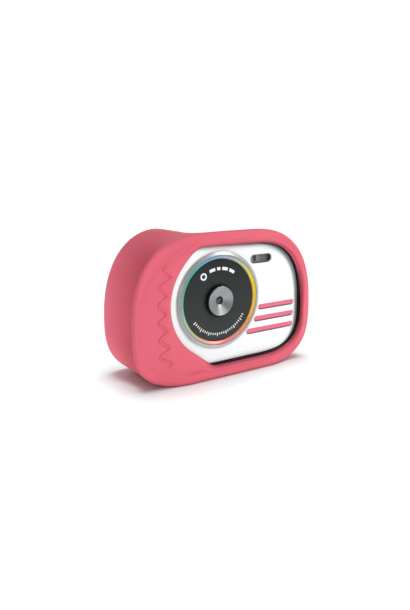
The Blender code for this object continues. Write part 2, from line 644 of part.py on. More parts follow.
def make_top_buttons(looks):
    crown, shoulder, under = 68.6, 67.7, 66.0
    foot = TOP_SWITCH_TOP + PRESS_GAP
    radius = SHUTTER["radius"]
    profile = [
        (0, foot), (3.6, foot), (3.6, foot + 1), (2.6, foot + 1), (2.6, under), (radius, under),
        (radius, shoulder), (radius - 0.9, crown - 0.1), (radius - 2.4, crown), (0, crown - 0.4),
    ]  # fmt: skip
    place = (SHUTTER["x"], SHUTTER["y"], 0)
    add_object("shutter_button", lathe(profile, 32), looks["key"], place, UPRIGHT)

    place = (POWER["x"], POWER["y"], 0)
    cap = slab(pill(POWER["length"], POWER["width"]), under, crown - 0.4, 0.6)
    power = add_object("power_button", cap, looks["key"], place, UPRIGHT)
    join(power, "stem", slab(pill(5.6, 3.4), foot + 0.4, under + 0.4), place, UPRIGHT)
    join(power, "foot", slab(pill(7.4, 4.6), foot, foot + 1), place, UPRIGHT)

    for name, spot in (("shutter_switch", SHUTTER), ("power_switch", POWER)):
        body = (spot["x"], -0.4, TOP_SWITCH_TOP - 2.6)
        made = add_object(name, block((6.0, 3.2, 3.6)), looks["steel"], body, UPRIGHT)
        plunger = cylinder(1.2, TOP_SWITCH_TOP - 1, TOP_SWITCH_TOP, 12)
        join(made, "plunger", plunger, (spot["x"], -0.5, 0), UPRIGHT)


def make_port_flap(look):
    """A rubber door that follows the case's side. Its hinge line and origin are along its lower edge."""
    inner, outer, steps = 0.35, 1.65, 12
    corner_x, corner_z = CASE.side + 0.2, FLAP["low"] + 0.4
    side = []
    for thickness in (inner, outer):
        edge = []
        for step in range(steps + 1):
            z = FLAP["low"] + (FLAP["high"] - FLAP["low"]) * step / steps
            edge.append((case_side(z) + thickness, z))
        side.append(edge)
    outline = [(x - corner_x, z - corner_z) for x, z in side[0] + side[1][::-1]]
    half = FLAP["depth"] / 2
    door = slab(outline, -half, half)
    add_object("port_flap", door, look, (corner_x, FLAP["y"], corner_z))


def case_side(z):
    """How far out the hard case's side is at this height."""
    if z >= CASE.wide:
        share, power, flat = (z - CASE.wide) / (CASE.top - CASE.wide), CASE.top_power, CASE.top_flat
    else:
        share, power, flat = (CASE.wide - z) / (CASE.wide - CASE.bottom), CASE.bottom_power, CASE.bottom_flat
    return flat + (CASE.side - flat) * (1 - share**power) ** (1 / power)


# ---------------------------------------------------------------- the camera


def main():
    for old in list(bpy.data.objects):
        bpy.data.objects.remove(old, do_unlink=True)
    looks = {
        "pink": material("pink_silicone", srgb(238, 100, 122), 0.6),
        "white": material("white_plastic", srgb(246, 246, 246), 0.25),
        "black": material("black_plastic", srgb(24, 24, 26), 0.45),
        "disc": material("charcoal_plastic", srgb(58, 59, 61), 0.35),
        "silver": material("silver_plastic", srgb(168, 170, 174), 0.3, 0.8),
        "steel": material("spun_steel", srgb(176, 177, 180), 0.25, 1.0),
        "rainbow": material("rainbow_foil", srgb(120, 190, 170), 0.3, 0.6),
        "glass": material("lens_glass", srgb(20, 22, 30), 0.05),
        "clear": material("flash_plastic", srgb(92, 93, 98), 0.15),
        "screen": material("screen_glass", srgb(12, 12, 14), 0.08),
        "panel": material("lcd_panel", srgb(40, 42, 48), 0.4),
        "board": material("circuit_board", srgb(28, 92, 58), 0.45),
        "chip": material("chip_package", srgb(32, 32, 34), 0.5),
        "foil": material("battery_foil", srgb(190, 192, 196), 0.35, 0.6),
        "ribbon": material("amber_ribbon", srgb(176, 110, 40), 0.4),
        "led": material("yellow_phosphor", srgb(238, 220, 120), 0.5),
        "lamp": material("status_lens", srgb(200, 235, 205), 0.3),
        "key": material("key_plastic", srgb(240, 240, 240), 0.35),
    }
    make_sleeve(looks["pink"])
    make_front_case(looks["black"])
    make_rear_case(looks["black"])
    make_case_screws(looks["steel"])
    make_faceplate(looks["white"])
    make_stripe_insert(looks["pink"])
    make_lens_trim(looks)
    make_flash(looks)
    make_camera_module(looks)
    make_electronics(looks)
    make_keys(looks)
    make_top_buttons(looks)
    make_port_flap(looks["pink"])


main()
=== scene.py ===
"""The looks of a child's compact camera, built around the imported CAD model.

The lens looks along -Y, +X is to the right of someone facing the lens, and +Z is up. Lengths are millimetres
until a mesh is made. A piece on the front is drawn as (x, z, out), where out counts forwards from the
camera's middle plane.
"""

import json
import math
from dataclasses import dataclass
from math import cos, dist, pi, radians, sin, tau

import bmesh
import bpy
from mathutils import Matrix, Vector
from mathutils.bvhtree import BVHTree

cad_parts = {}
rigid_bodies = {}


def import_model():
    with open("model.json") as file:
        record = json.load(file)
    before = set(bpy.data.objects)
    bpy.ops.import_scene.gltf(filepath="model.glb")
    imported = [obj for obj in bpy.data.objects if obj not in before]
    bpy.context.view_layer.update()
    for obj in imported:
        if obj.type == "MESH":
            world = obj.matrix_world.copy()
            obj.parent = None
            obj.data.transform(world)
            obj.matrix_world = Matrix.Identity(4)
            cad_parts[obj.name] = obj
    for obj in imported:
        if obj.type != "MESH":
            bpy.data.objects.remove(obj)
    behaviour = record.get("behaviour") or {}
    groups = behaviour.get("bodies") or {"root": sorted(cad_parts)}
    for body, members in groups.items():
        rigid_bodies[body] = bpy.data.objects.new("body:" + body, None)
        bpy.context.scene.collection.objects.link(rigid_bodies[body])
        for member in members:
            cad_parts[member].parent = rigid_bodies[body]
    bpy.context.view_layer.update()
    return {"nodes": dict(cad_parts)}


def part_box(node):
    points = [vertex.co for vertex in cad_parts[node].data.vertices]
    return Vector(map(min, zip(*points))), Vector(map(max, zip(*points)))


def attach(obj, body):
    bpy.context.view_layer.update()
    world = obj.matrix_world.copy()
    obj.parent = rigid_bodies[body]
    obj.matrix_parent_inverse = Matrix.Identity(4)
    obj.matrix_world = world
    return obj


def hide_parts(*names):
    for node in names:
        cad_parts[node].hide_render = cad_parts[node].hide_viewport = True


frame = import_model()

MM = 0.001
GAP = 0.3  # between neighbouring pieces
TINY = 1e-6

# How a piece's own axes lie in the frame.
FRONT = Matrix(((1, 0, 0, 0), (0, 0, -1, 0), (0, 1, 0, 0), (0, 0, 0, 1)))  # seen from the front
BACK = Matrix(((-1, 0, 0, 0), (0, 0, 1, 0), (0, 1, 0, 0), (0, 0, 0, 1)))  # seen from behind
UP = Matrix.Identity(4)  # seen from above


def box_mm(node):
    """The low and high corners of a node's box, in millimetres."""
    return [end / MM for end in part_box(node)]


def middle(node):
    low, high = box_mm(node)
    return (low + high) / 2


# The frame's own dimensions.
DISC_LOW, DISC_HIGH = box_mm("lens_disc")
CASE_LOW, CASE_HIGH = box_mm("front_case")
SLEEVE_LOW, SLEEVE_HIGH = box_mm("silicone_sleeve")
LENS_X, _, LENS_Z = middle("lens_disc")
DISC_RADIUS = (DISC_HIGH.x - DISC_LOW.x) / 2
DISC_FACE = -DISC_LOW.y
CASE_FACE = -CASE_LOW.y
REAR_FACE = -box_mm("rear_case")[1].y
CREST = -SLEEVE_LOW.y
FLASH = middle("flash_window")
FLASH_LENGTH, FLASH_WIDTH = 13.4, 4.2

# The sleeve's bumpers, as in the CAD model.
LIP = CREST - 0.5
LIP_THICKNESS = 2.4
BUMPER_INSET = 3.8
SIDE_INSET = 0.9
FRONT_ROUND = 1.8
REAR_ROUND = 7.0
GRIP_START = 2.3
ROUND_POWER = 2.4
GRIP_LEAN = 0.55
SIDE_WAIST = 5.2
WAIST_POWER = 1.5
TOP_WAIST = 0.6
CORNER_WAIST = 3.0
SADDLE = 4.4
SADDLE_TOP = 68.6  # about the sleeve's height round the two top buttons
REAR_LIP = 2.0  # how far the sleeve reaches over the case's back
SADDLE_HALF = 29.0
FALL_TOP = 3.6
FALL_BOTTOM = 3.0
FALL_REACH = 0.8
WIDE = 26.0  # height of the bumpers' widest line
WINDOW_CENTRE = (6.0, 35.0)  # where the rays that find the front window's edge start


# ---- outlines


def corner(turn, power):
    """(x share, z share) on a superellipse's quarter at this angle."""
    x, z = cos(turn), sin(turn)
    size = (abs(x) ** power + abs(z) ** power) ** (1 / power)
    return x / size, z / size


def quarter(steps):
    """The angles of a quarter turn, in radians."""
    return [radians(90 * step / steps) for step in range(steps + 1)]


def arc(x, y, radius, first, last, steps):
    """Points round a centre, between two angles in degrees."""
    turns = [radians(first + (last - first) * step / steps) for step in range(steps + 1)]
    return [(x + radius * cos(turn), y + radius * sin(turn)) for turn in turns]


CORNER_STEPS = 30
FLAT_STEPS = 16


@dataclass
class Loaf:
    """A rounded outline: four superellipse corners, a flat top and a flat bottom."""

    side: float
    top: float
    bottom: float
    wide: float
    top_flat: float
    bottom_flat: float
    top_power: float
    bottom_power: float = 2.9

    def stations(self):
        """(centre x, corner width, corner height, x share, z share), anticlockwise from the right side."""
        upper = (self.top_flat, self.side - self.top_flat, self.top - self.wide, self.top_power)
        lower = (self.bottom_flat, self.side - self.bottom_flat, self.wide - self.bottom, self.bottom_power)
        found = []
        for first, (flat, wide, high, power) in ((0, upper), (90, upper), (180, lower), (270, lower)):
            for step in range(CORNER_STEPS):
                x_share, z_share = corner(radians(first + 90 * step / CORNER_STEPS), power)
                found.append((flat if first in (0, 270) else -flat, wide, high, x_share, z_share))
            if first in (0, 180):
                z_share = 1.0 if first == 0 else -1.0
                for step in range(FLAT_STEPS):
                    found.append((flat * (1 - 2 * step / FLAT_STEPS) * z_share, wide, high, 0.0, z_share))
        return found

    def outline(self, inset=0.0):
        return [
            (centre + (wide - inset) * x_share, self.wide + (high - inset) * z_share)
            for centre, wide, high, x_share, z_share in self.stations()
        ]


FRONT_BUMPER = Loaf(52.3, SLEEVE_HIGH.z, 0.0, WIDE, 6.0, 23.0, 2.8)
REAR_BUMPER = Loaf(SLEEVE_HIGH.x, SLEEVE_HIGH.z, 0.0, WIDE, 21.0, 25.5, 2.3, 2.6)
CASE = Loaf(CASE_HIGH.x, CASE_HIGH.z, CASE_LOW.z, 27.6, 21.0, 23.0, 2.3)


def smooth(share):
    share = min(max(share, 0.0), 1.0)
    return share * share * (3 - 2 * share)


def lens_side_outline(side, top, bottom, radius):
    """The D of the front window: loaf corners on the right, and an arc round the lens on the left."""
    wide, top_flat, bottom_flat = 28.2, 12.4, 16.4
    top_power, bottom_power = 2.7, 3.0
    leave_arc = 233
    corner_steps, arc_steps = 36, 60
    points = []
    for turn in quarter(corner_steps):
        x_share, z_share = corner(turn, top_power)
        points.append((top_flat + (side - top_flat) * x_share, wide + (top - wide) * z_share))
    first = 180 - math.degrees(math.asin((top - LENS_Z) / radius))
    points += arc(LENS_X, LENS_Z, radius, first, leave_arc, arc_steps)
    slant = radians(leave_arc + 90)
    points.append((points[-1][0] + (bottom - points[-1][1]) / math.tan(slant), bottom))
    for step in range(corner_steps):
        x_share, z_share = corner(radians(270 + 90 * step / corner_steps), bottom_power)
        points.append((bottom_flat + (side - bottom_flat) * x_share, wide + (wide - bottom) * z_share))
    return points


def grown(outline, by):
    """A closed anticlockwise outline, moved outwards."""
    moved = []
    for before, here, after in zip(outline[-1:] + outline[:-1], outline, outline[1:] + outline[:1]):
        sides = []
        for start, end in ((before, here), (here, after)):
            run = math.hypot(end[0] - start[0], end[1] - start[1]) or 1.0
            sides.append(((end[1] - start[1]) / run, (start[0] - end[0]) / run))
        (ax, az), (bx, bz) = sides
        mitre = by / (1 + ax * bx + az * bz)
        moved.append((here[0] + (ax + bx) * mitre, here[1] + (az + bz) * mitre))
    return moved


def shifted(outline, x, y):
    return [(a + x, b + y) for a, b in outline]


def at_heights(rows):
    """A ring for each (outline, height)."""
    return [[(x, y, height) for x, y in outline] for outline, height in rows]


def grown_rings(outline, rows):
    """A ring for each (how far the outline has grown, height)."""
    return at_heights((grown(outline, by), height) for by, height in rows)


def circle(radius, steps=48):
    turns = [tau * step / steps for step in range(steps)]
    return [(radius * cos(turn), radius * sin(turn)) for turn in turns]


def band(first_radius, second_radius, first, last, steps):
    """A flat stretch of a ring, between two angles in degrees."""
    return arc(0, 0, first_radius, first, last, steps) + arc(0, 0, second_radius, first, last, steps)[::-1]


def pill(length, width, steps=16):
    """A bar with round ends, lying along x about the origin."""
    radius = width / 2
    reach = length / 2 - radius
    return arc(reach, 0, radius, -90, 90, steps) + arc(-reach, 0, radius, 90, 270, steps)


def rounded(wide, high, radius, steps=8):
    """A rectangle with round corners about the origin."""
    points = []
    for x, y, first in ((1, 1, 0), (-1, 1, 90), (-1, -1, 180), (1, -1, 270)):
        points += arc(x * (wide / 2 - radius), y * (high / 2 - radius), radius, first, first + 90, steps)
    return points


LONGEST_SOFT_SHARE = 0.45  # of a profile's side, so that the rounding at its two ends never meets


def soften(profile, radius, steps=3):
    """Rounds the corners of a closed profile, and leaves its points on the axis alone."""
    points = []
    for before, here, after in zip(profile[-1:] + profile[:-1], profile, profile[1:] + profile[:1]):
        if here[0] < TINY:
            points.append(here)
            continue
        ends = []
        for other in (before, after):
            run = dist(other, here)
            share = min(radius, run * LONGEST_SOFT_SHARE) / run
            ends.append([a + (b - a) * share for a, b in zip(here, other)])
        for step in range(steps + 1):
            t = step / steps
            spots = zip(ends[0], here, ends[1])
            points.append(tuple((1 - t) ** 2 * a + 2 * t * (1 - t) * b + t * t * c for a, b, c in spots))
    return points


# ---- meshes


def loft(rings, loop=False, mesh=None):
    """Skins a row of rings, closed into a loop or capped at both ends. A ring may be a single point."""
    mesh = mesh or bmesh.new()
    rows = [[mesh.verts.new(point) for point in ring] for ring in rings]
    steps = max(len(row) for row in rows)
    following = rows[1:] + rows[:1] if loop else rows[1:]
    for ahead, behind in zip(rows, following):
        if len(ahead) == len(behind) == 1:
            continue
        for index in range(steps):
            beside = (index + 1) % steps
            corners = [row[place % len(row)] for row, place in (
                (ahead, index), (ahead, beside), (behind, beside), (behind, index),
            )]
            mesh.faces.new(list(dict.fromkeys(corners)))
    if not loop:
        for row in (rows[0], rows[-1]):
            if len(row) > 1:
                mesh.faces.new(row)
    return mesh


def lathe(profile, steps=96, mesh=None):
    """A round piece from its closed (radius, out) profile."""
    rings = at_heights(([(0, 0)] if radius < TINY else circle(radius, steps), out) for radius, out in profile)
    return loft(rings, loop=True, mesh=mesh)


def slab(outline, low, high, edge=0.25, steps=3, mesh=None):
    """A plate between two heights with rounded edges."""
    roll = [(-edge * (1 - sin(turn)), edge * (1 - cos(turn))) for turn in quarter(steps)]
    rows = [(by, low + rise) for by, rise in roll] + [(by, high - rise) for by, rise in roll[::-1]]
    return loft(grown_rings(outline, rows), mesh=mesh)


def piece(name, mesh, look, axes=FRONT, centre=(0, 0, 0), body="camera", stands_for=(), sharp=40):
    """A named object from a bmesh in millimetres, riding on a body."""
    mesh.transform(Matrix.Scale(MM, 4) @ Matrix.Translation(centre) @ axes)
    made = object_from(name, mesh, sharp)
    made.data.materials.append(LOOKS[look])
    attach(made, body)
    if stands_for:
        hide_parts(*stands_for)
    return made


def add(name, data):
    """A new object in the scene."""
    made = bpy.data.objects.new(name, data)
    bpy.context.scene.collection.objects.link(made)
    return made


def shade(data, sharp):
    """Smooth shading, but for the edges sharper than this angle."""
    data.shade_smooth()
    data.set_sharp_from_angle(angle=radians(sharp))


def object_from(name, mesh, sharp=40):
    bmesh.ops.recalc_face_normals(mesh, faces=mesh.faces)
    data = bpy.data.meshes.new(name)
    mesh.to_mesh(data)
    mesh.free()
    shade(data, sharp)
    return add(name, data)


def carve(made, cutters, axes=FRONT, centre=(0, 0, 0), sharp=40):
    """Cuts a bmesh in millimetres from a piece, and keeps the result as its mesh."""
    cutters.transform(Matrix.Scale(MM, 4) @ Matrix.Translation(centre) @ axes)
    tool = object_from("cutter", cutters)
    change = made.modifiers.new("cut", "BOOLEAN")
    change.object = tool
    change.solver = "EXACT"
    graph = bpy.context.evaluated_depsgraph_get()
    data = bpy.data.meshes.new_from_object(made.evaluated_get(graph))
    made.modifiers.clear()
    made.data = data
    data.name = made.name
    shade(data, sharp)
    bpy.data.objects.remove(tool)


# ---- materials


def srgb(red, green, blue):
    """A screen colour, 0 to 255, as a shader's linear colour."""

    def linear(value):
        value /= 255
        return value / 12.92 if value <= 0.04045 else ((value + 0.055) / 1.055) ** 2.4

    return (linear(red), linear(green), linear(blue), 1.0)


class Nodes:
    """A node tree under construction. A value fed to a node is a socket or a constant."""

    def __init__(self, tree):
        self.tree = tree

    def node(self, kind, **settings):
        made = self.tree.nodes.new(kind)
        for key, value in settings.items():
            setattr(made, key, value)
        return made

    def feed(self, value, socket):
        if isinstance(value, bpy.types.NodeSocket):
            self.tree.links.new(value, socket)
        else:
            socket.default_value = value

    def fed(self, kind, values, **settings):
        """A node with these inputs."""
        made = self.node(kind, **settings)
        for key, value in values.items():
            self.feed(value, made.inputs[key])
        return made

    def vector(self, operation, *values):
        made = self.fed("ShaderNodeVectorMath", dict(enumerate(values)), operation=operation)
        return made.outputs["Value" if operation in ("DOT_PRODUCT", "LENGTH") else "Vector"]

    def maths(self, operation, *values):
        return self.fed("ShaderNodeMath", dict(enumerate(values)), operation=operation).outputs["Value"]

    def split(self, vector):
        """The vector's outputs X, Y and Z."""
        return self.fed("ShaderNodeSeparateXYZ", {"Vector": vector}).outputs

    def ranged(self, source, low, high, first=0.3, last=0.7):
        """Turns first to last into low to high, and holds the ends."""
        ends = {"Value": source, "From Min": first, "From Max": last, "To Min": low, "To Max": high}
        return self.fed("ShaderNodeMapRange", ends).outputs["Result"]


class Look(Nodes):
    """A material whose colour, roughness and bump come from noise in the piece's own space."""

    def __init__(self, name, rgb, roughness, metallic=0.0):
        self.material = bpy.data.materials.new(name)
        self.material.use_nodes = True
        super().__init__(self.material.node_tree)
        self.shader = self.tree.nodes["Principled BSDF"]
        self.colour = self.material.diffuse_color = srgb(*rgb)
        self.shader.inputs["Metallic"].default_value = metallic
        self.coordinates = self.node("ShaderNodeTexCoord").outputs["Object"]
        self.roughness = roughness

    def noise(self, size, detail=2.0):
        """Noise with features of this size, in millimetres."""
        scaled = self.fed("ShaderNodeMapping", {"Vector": self.coordinates, "Scale": [1 / (size * MM)] * 3})
        values = {"Vector": scaled.outputs["Vector"], "Scale": 1.0, "Detail": detail}
        return self.fed("ShaderNodeTexNoise", values).outputs["Fac"]

    def mixed(self, share, first, second):
        """Mixes two colours, which are a colour mix node's inputs 6 and 7."""
        return self.fed("ShaderNodeMix", {"Factor": share, 6: first, 7: second}, data_type="RGBA").outputs[2]

    def finish(
        self, blotch=0.05, blotch_size=9.0, grain=0.1, grain_size=0.25, depth=0.01, wander=0.08, painted=None
    ):
        """Gentle colour variation, a fine grain in the bump, and roughness that wanders. Sizes are in mm."""
        tone = self.ranged(self.noise(blotch_size), 1 - blotch, 1 + blotch)
        self.feed(self.vector("MULTIPLY", painted or self.colour[:3], tone), self.shader.inputs["Base Color"])
        fine = self.noise(grain_size, 3.0)
        rough = self.ranged(fine, self.roughness - wander, self.roughness + wander)
        self.feed(rough, self.shader.inputs["Roughness"])
        self.bump(fine, grain, depth)
        return self.material

    def bump(self, height, strength, depth):
        made = self.fed("ShaderNodeBump", {"Height": height, "Strength": strength, "Distance": depth * MM})
        self.feed(made.outputs["Normal"], self.shader.inputs["Normal"])

    def set(self, **values):
        """Constants, set on the shader's own sockets."""
        for key, value in values.items():
            self.shader.inputs[key.replace("_", " ").title().replace("Ior", "IOR")].default_value = value
        return self


def plain(name, rgb, roughness, metallic=0.0, constants=None, **texture):
    return Look(name, rgb, roughness, metallic).set(**(constants or {})).finish(**texture)


def about_lens(look):
    """The share of a turn round the lens, anticlockwise from its left as seen in front, and the radius."""
    away = look.split(look.vector("SUBTRACT", look.coordinates, (LENS_X * MM, 0, LENS_Z * MM)))
    flat = look.fed("ShaderNodeCombineXYZ", {"X": away["X"], "Y": away["Z"]}).outputs["Vector"]
    radial = look.fed("ShaderNodeTexGradient", {"Vector": flat}, gradient_type="RADIAL")
    return radial.outputs["Fac"], look.vector("LENGTH", flat)


def ramp(look, source, stops):
    """Colours by share, from (share, colour) pairs."""
    made = look.fed("ShaderNodeValToRGB", {"Fac": source})
    marks = made.color_ramp.elements
    for mark, (share, colour) in zip(marks, (stops[0], stops[-1])):
        mark.position, mark.color = share, srgb(*colour)
    for share, colour in stops[1:-1]:
        marks.new(share).color = srgb(*colour)
    return made.outputs["Color"]


def by_angle(look, turn, colours):
    """Colours round the lens from (degree, colour) pairs, with 0 at its right side and 90 at its top."""
    return ramp(look, turn, [((degree + 180) / 360, colour) for degree, colour in colours])


def rainbow_look():
    """Iridescent foil: the colour turns round the ring."""
    by_degree = (
        (-180, (124, 190, 160)), (-160, (162, 200, 162)), (-140, (196, 198, 144)), (-122, (224, 182, 146)),
        (-105, (224, 142, 126)), (-85, (218, 110, 114)), (-62, (236, 154, 138)), (-42, (238, 162, 110)),
        (-22, (240, 178, 88)), (0, (232, 184, 66)), (18, (240, 198, 42)), (34, (224, 204, 96)),
        (52, (192, 190, 138)), (72, (166, 172, 172)), (92, (140, 158, 184)), (108, (108, 158, 204)),
        (122, (72, 172, 184)), (145, (58, 178, 152)), (162, (88, 182, 150)), (180, (124, 190, 160)),
    )
    look = Look("rainbow_foil", (120, 190, 170), 0.32, 0.35)
    turn, _ = about_lens(look)
    return look.finish(painted=by_angle(look, turn, by_degree), blotch=0.04, blotch_size=3.0, grain=0.05)


def spun_look():
    """Metal turned on a lathe: fine rings in the bump, and painted highlight and shade wedges round the lens
    that stand in for the light the rings throw.
    """
    look = Look("spun_metal", (170, 171, 174), 0.34, 0.85)
    groove = 0.32  # from one turned ring to the next
    turn, distance = about_lens(look)
    # Painted highlight and shade: the grey tone at each angle round the lens.
    by_degree = (
        (-180, 138), (-150, 144), (-120, 158), (-103, 190), (-94, 228), (-80, 218), (-64, 196), (-50, 150),
        (-38, 136), (-22, 130), (-8, 136), (4, 150), (20, 156), (50, 150), (90, 150), (120, 156), (150, 146),
        (180, 138),
    )
    painted_highlight_wedges = by_angle(look, turn, [(degree, (tone, tone, tone + 2)) for degree, tone in by_degree])
    flat = look.fed("ShaderNodeCombineXYZ", {"X": distance}).outputs["Vector"]
    spread = look.vector("MULTIPLY", flat, [1 / (groove * MM) / tau] * 3)
    values = {"Vector": spread, "Scale": 1.0}
    rings = look.fed("ShaderNodeTexWave", values, wave_type="RINGS", rings_direction="SPHERICAL")
    look.finish(painted=painted_highlight_wedges, blotch=0.03, blotch_size=2.0)
    look.bump(rings.outputs["Fac"], 0.25, 0.02)
    return look.material


def along(look, axis, first, last):
    """0 to 1 along one of the frame's axes, between two places in millimetres."""
    return look.ranged(look.split(look.coordinates)[axis], 0.0, 1.0, first * MM, last * MM)


def bezel_look():
    """Silver plastic, with painted shade on the side away from the key light and a painted highlight low
    down.
    """
    # Painted highlight and shade: the grey tone at each angle round the lens.
    by_degree = (
        (-180, 154), (-140, 172), (-100, 204), (-40, 196), (0, 186), (80, 184), (115, 164), (150, 150),
        (180, 154),
    )
    look = Look("silver_plastic", (192, 193, 197), 0.34, 0.4)
    turn, _ = about_lens(look)
    painted_light_tones = by_angle(look, turn, [(degree, (tone, tone + 2, tone + 5)) for degree, tone in by_degree])
    return look.finish(painted=painted_light_tones, blotch=0.03, grain=0.06)


def smoked_look():
    """Smoked plastic over the flash, its colour painted along its length: a painted reflection of the lit
    reflector, a grey band with a bright crescent near its left end, and painted shade at both ends.
    """
    look = Look("smoked_window", (96, 96, 100), 0.16)
    half = FLASH_LENGTH / 2
    across = along(look, "X", FLASH.x - half, FLASH.x + half)
    # Painted reflection and shade: the grey tone at each share of the window's length.
    painted_light_tones = (
        (0.0, 20), (0.27, 22), (0.34, 150), (0.42, 138), (0.5, 118), (0.66, 112), (0.78, 60), (0.88, 20),
        (1.0, 16),
    )
    painted = ramp(look, across, [(share, (tone, tone, tone + 4)) for share, tone in painted_light_tones])
    return look.finish(painted=painted, blotch=0.05, blotch_size=1.0, grain=0.04, wander=0.03)


def silicone_look():
    """Soft pink rubber, with painted shade in the finger grip and where it turns in towards the window, and
    painted light towards the rear bumper.
    """
    look = Look("pink_silicone", (231, 102, 120), 0.62)
    look.set(subsurface_weight=0.12, subsurface_radius=(1.0, 0.35, 0.3), subsurface_scale=0.0015,
             specular_ior_level=0.25, sheen_weight=0.05, sheen_roughness=0.4)
    normal = look.node("ShaderNodeNewGeometry").outputs["Normal"]
    # Painted shade where a surface faces in towards the front window, standing in for the shade of the
    # recess.
    inward = look.vector("SUBTRACT", (WINDOW_CENTRE[0] * MM, 0, WINDOW_CENTRE[1] * MM), look.coordinates)
    inward = look.vector("NORMALIZE", look.vector("MULTIPLY", inward, (1, 0, 1)))
    depth = look.ranged(look.vector("DOT_PRODUCT", inward, normal), 0.0, 1.0, 0.1, 0.9)
    # Painted shade and light on surfaces that face sideways: darker just behind the front bumper, lighter
    # towards the rear bumper.
    side = look.ranged(look.split(look.vector("ABSOLUTE", normal))["X"], 0.0, 1.0, 0.45, 0.9)
    grip_front, grip_back = -15.0, 13.0
    painted_grip_light_and_shade = (
        (0.0, (231, 102, 120)), (0.12, (214, 82, 96)), (0.33, (216, 86, 101)), (0.67, (233, 103, 121)),
        (1.0, (248, 112, 134)),
    )
    grip = look.mixed(side, look.colour, ramp(look, along(look, "Y", grip_front, grip_back), painted_grip_light_and_shade))
    shade = look.mixed(depth, grip, srgb(176, 66, 84))
    return look.finish(painted=shade, blotch=0.02, blotch_size=14.0, grain=0.12, grain_size=0.18, depth=0.012)


def plate_look():
    """Glossy white, with a painted shadow that greys the edge where it rolls off upwards and to the right
    under the sleeve's lip.
    """
    look = Look("white_plastic", (250, 250, 250), 0.22).set(coat_weight=0.3, coat_roughness=0.08)
    normal = look.node("ShaderNodeNewGeometry").outputs["Normal"]
    # Painted shadow of the sleeve's lip, on the roll-off that faces up and to the right.
    shade = look.ranged(look.vector("DOT_PRODUCT", normal, (1.6, 0.0, 0.35)), 0.0, 1.0, 0.06, 0.27)
    painted_lip_shadow = look.mixed(shade, srgb(250, 250, 250), srgb(120, 124, 122))
    return look.finish(painted=painted_lip_shadow, blotch=0.006, blotch_size=20.0, grain=0.03)


def disc_look():
    """Charcoal plastic, with painted shade that makes it a little darker towards its top."""
    look = Look("charcoal_plastic", (44, 45, 46), 0.4).set(specular_ior_level=0.3)
    up = along(look, "Z", LENS_Z - DISC_RADIUS, LENS_Z + DISC_RADIUS)
    # Painted shade, darkest at the top of the disc.
    painted_top_shade = ramp(look, up, [(0.0, (50, 50, 50)), (0.45, (42, 43, 43)), (1.0, (22, 24, 24))])
    return look.finish(painted=painted_top_shade, blotch=0.03, grain=0.05)


def board_look():
    """Green solder mask with paler copper tracks under it."""
    look = Look("circuit_board", (28, 96, 60), 0.4)
    turned = look.fed("ShaderNodeMapping", {"Vector": look.coordinates, "Rotation": (radians(90), 0, 0)})
    values = {"Vector": turned.outputs["Vector"], "Scale": 260, "Mortar Size": 0.03}
    for key, colour in (("Color1", (24, 88, 54)), ("Color2", (30, 100, 62)), ("Mortar", (66, 140, 84))):
        values[key] = srgb(*colour)
    tracks = look.fed("ShaderNodeTexBrick", values)
    return look.finish(painted=tracks.outputs["Color"], blotch=0.06)


# Each material, by the name that a piece asks for it by.
LOOKS = {
    "silicone": silicone_look(),
    "stripe": plain("pink_plastic", (240, 108, 138), 0.35, blotch=0.03, grain=0.05),
    "white": plate_look(),
    "black": plain("black_plastic", (17, 18, 18), 0.38, grain=0.3, grain_size=0.12, depth=0.02),
    "disc": disc_look(),
    "mark": plain("printed_white", (244, 244, 244), 0.5, blotch=0.02, grain=0.05),
    "silver": bezel_look(),
    "rainbow": rainbow_look(),
    "spun": spun_look(),
    "glass": plain("lens_glass", (14, 16, 24), 0.06, blotch=0.04, grain=0.0, wander=0.02,
                   constants={"coat_weight": 1.0, "coat_roughness": 0.02}),
    "window": smoked_look(),
    "reflector": plain("flash_reflector", (142, 143, 147), 0.35, 0.5, blotch=0.06, blotch_size=1.0),
    "led": plain("phosphor", (226, 208, 110), 0.5, blotch=0.08, blotch_size=0.6),
    "screen": plain("screen_glass", (9, 10, 12), 0.07, grain=0.0, wander=0.02,
                    constants={"coat_weight": 1.0, "coat_roughness": 0.03}),
    "panel": plain("lcd_panel", (24, 27, 33), 0.2, blotch=0.15, blotch_size=30.0),
    "board": board_look(),
    "chip": plain("chip_package", (30, 30, 33), 0.5, blotch=0.08, grain=0.2),
    "foil": plain("battery_foil", (190, 192, 196), 0.35, 0.7, blotch=0.05, grain=0.4, grain_size=1.2),
    "ribbon": plain("amber_ribbon", (176, 108, 38), 0.38, blotch=0.08, blotch_size=2.0),
    "steel": plain("plated_steel", (172, 174, 178), 0.28, 0.9, blotch=0.05, blotch_size=2.0, grain=0.15),
    "key": plain("key_plastic", (244, 244, 244), 0.3, blotch=0.01, grain=0.05),
    "icon": plain("printed_grey", (96, 98, 104), 0.5, blotch=0.03),
    "lamp": plain("status_lens", (196, 232, 202), 0.25, blotch=0.04, blotch_size=1.0),
}


# ---- the sleeve


def share_of_depth(height):
    """0 where the finger grip starts, and 1 where the rear bumper's rounding does."""
    front, rear = CREST - GRIP_START, REAR_ROUND - CREST
    return min(max((front - height) / (front - rear), 0.0), 1.0)


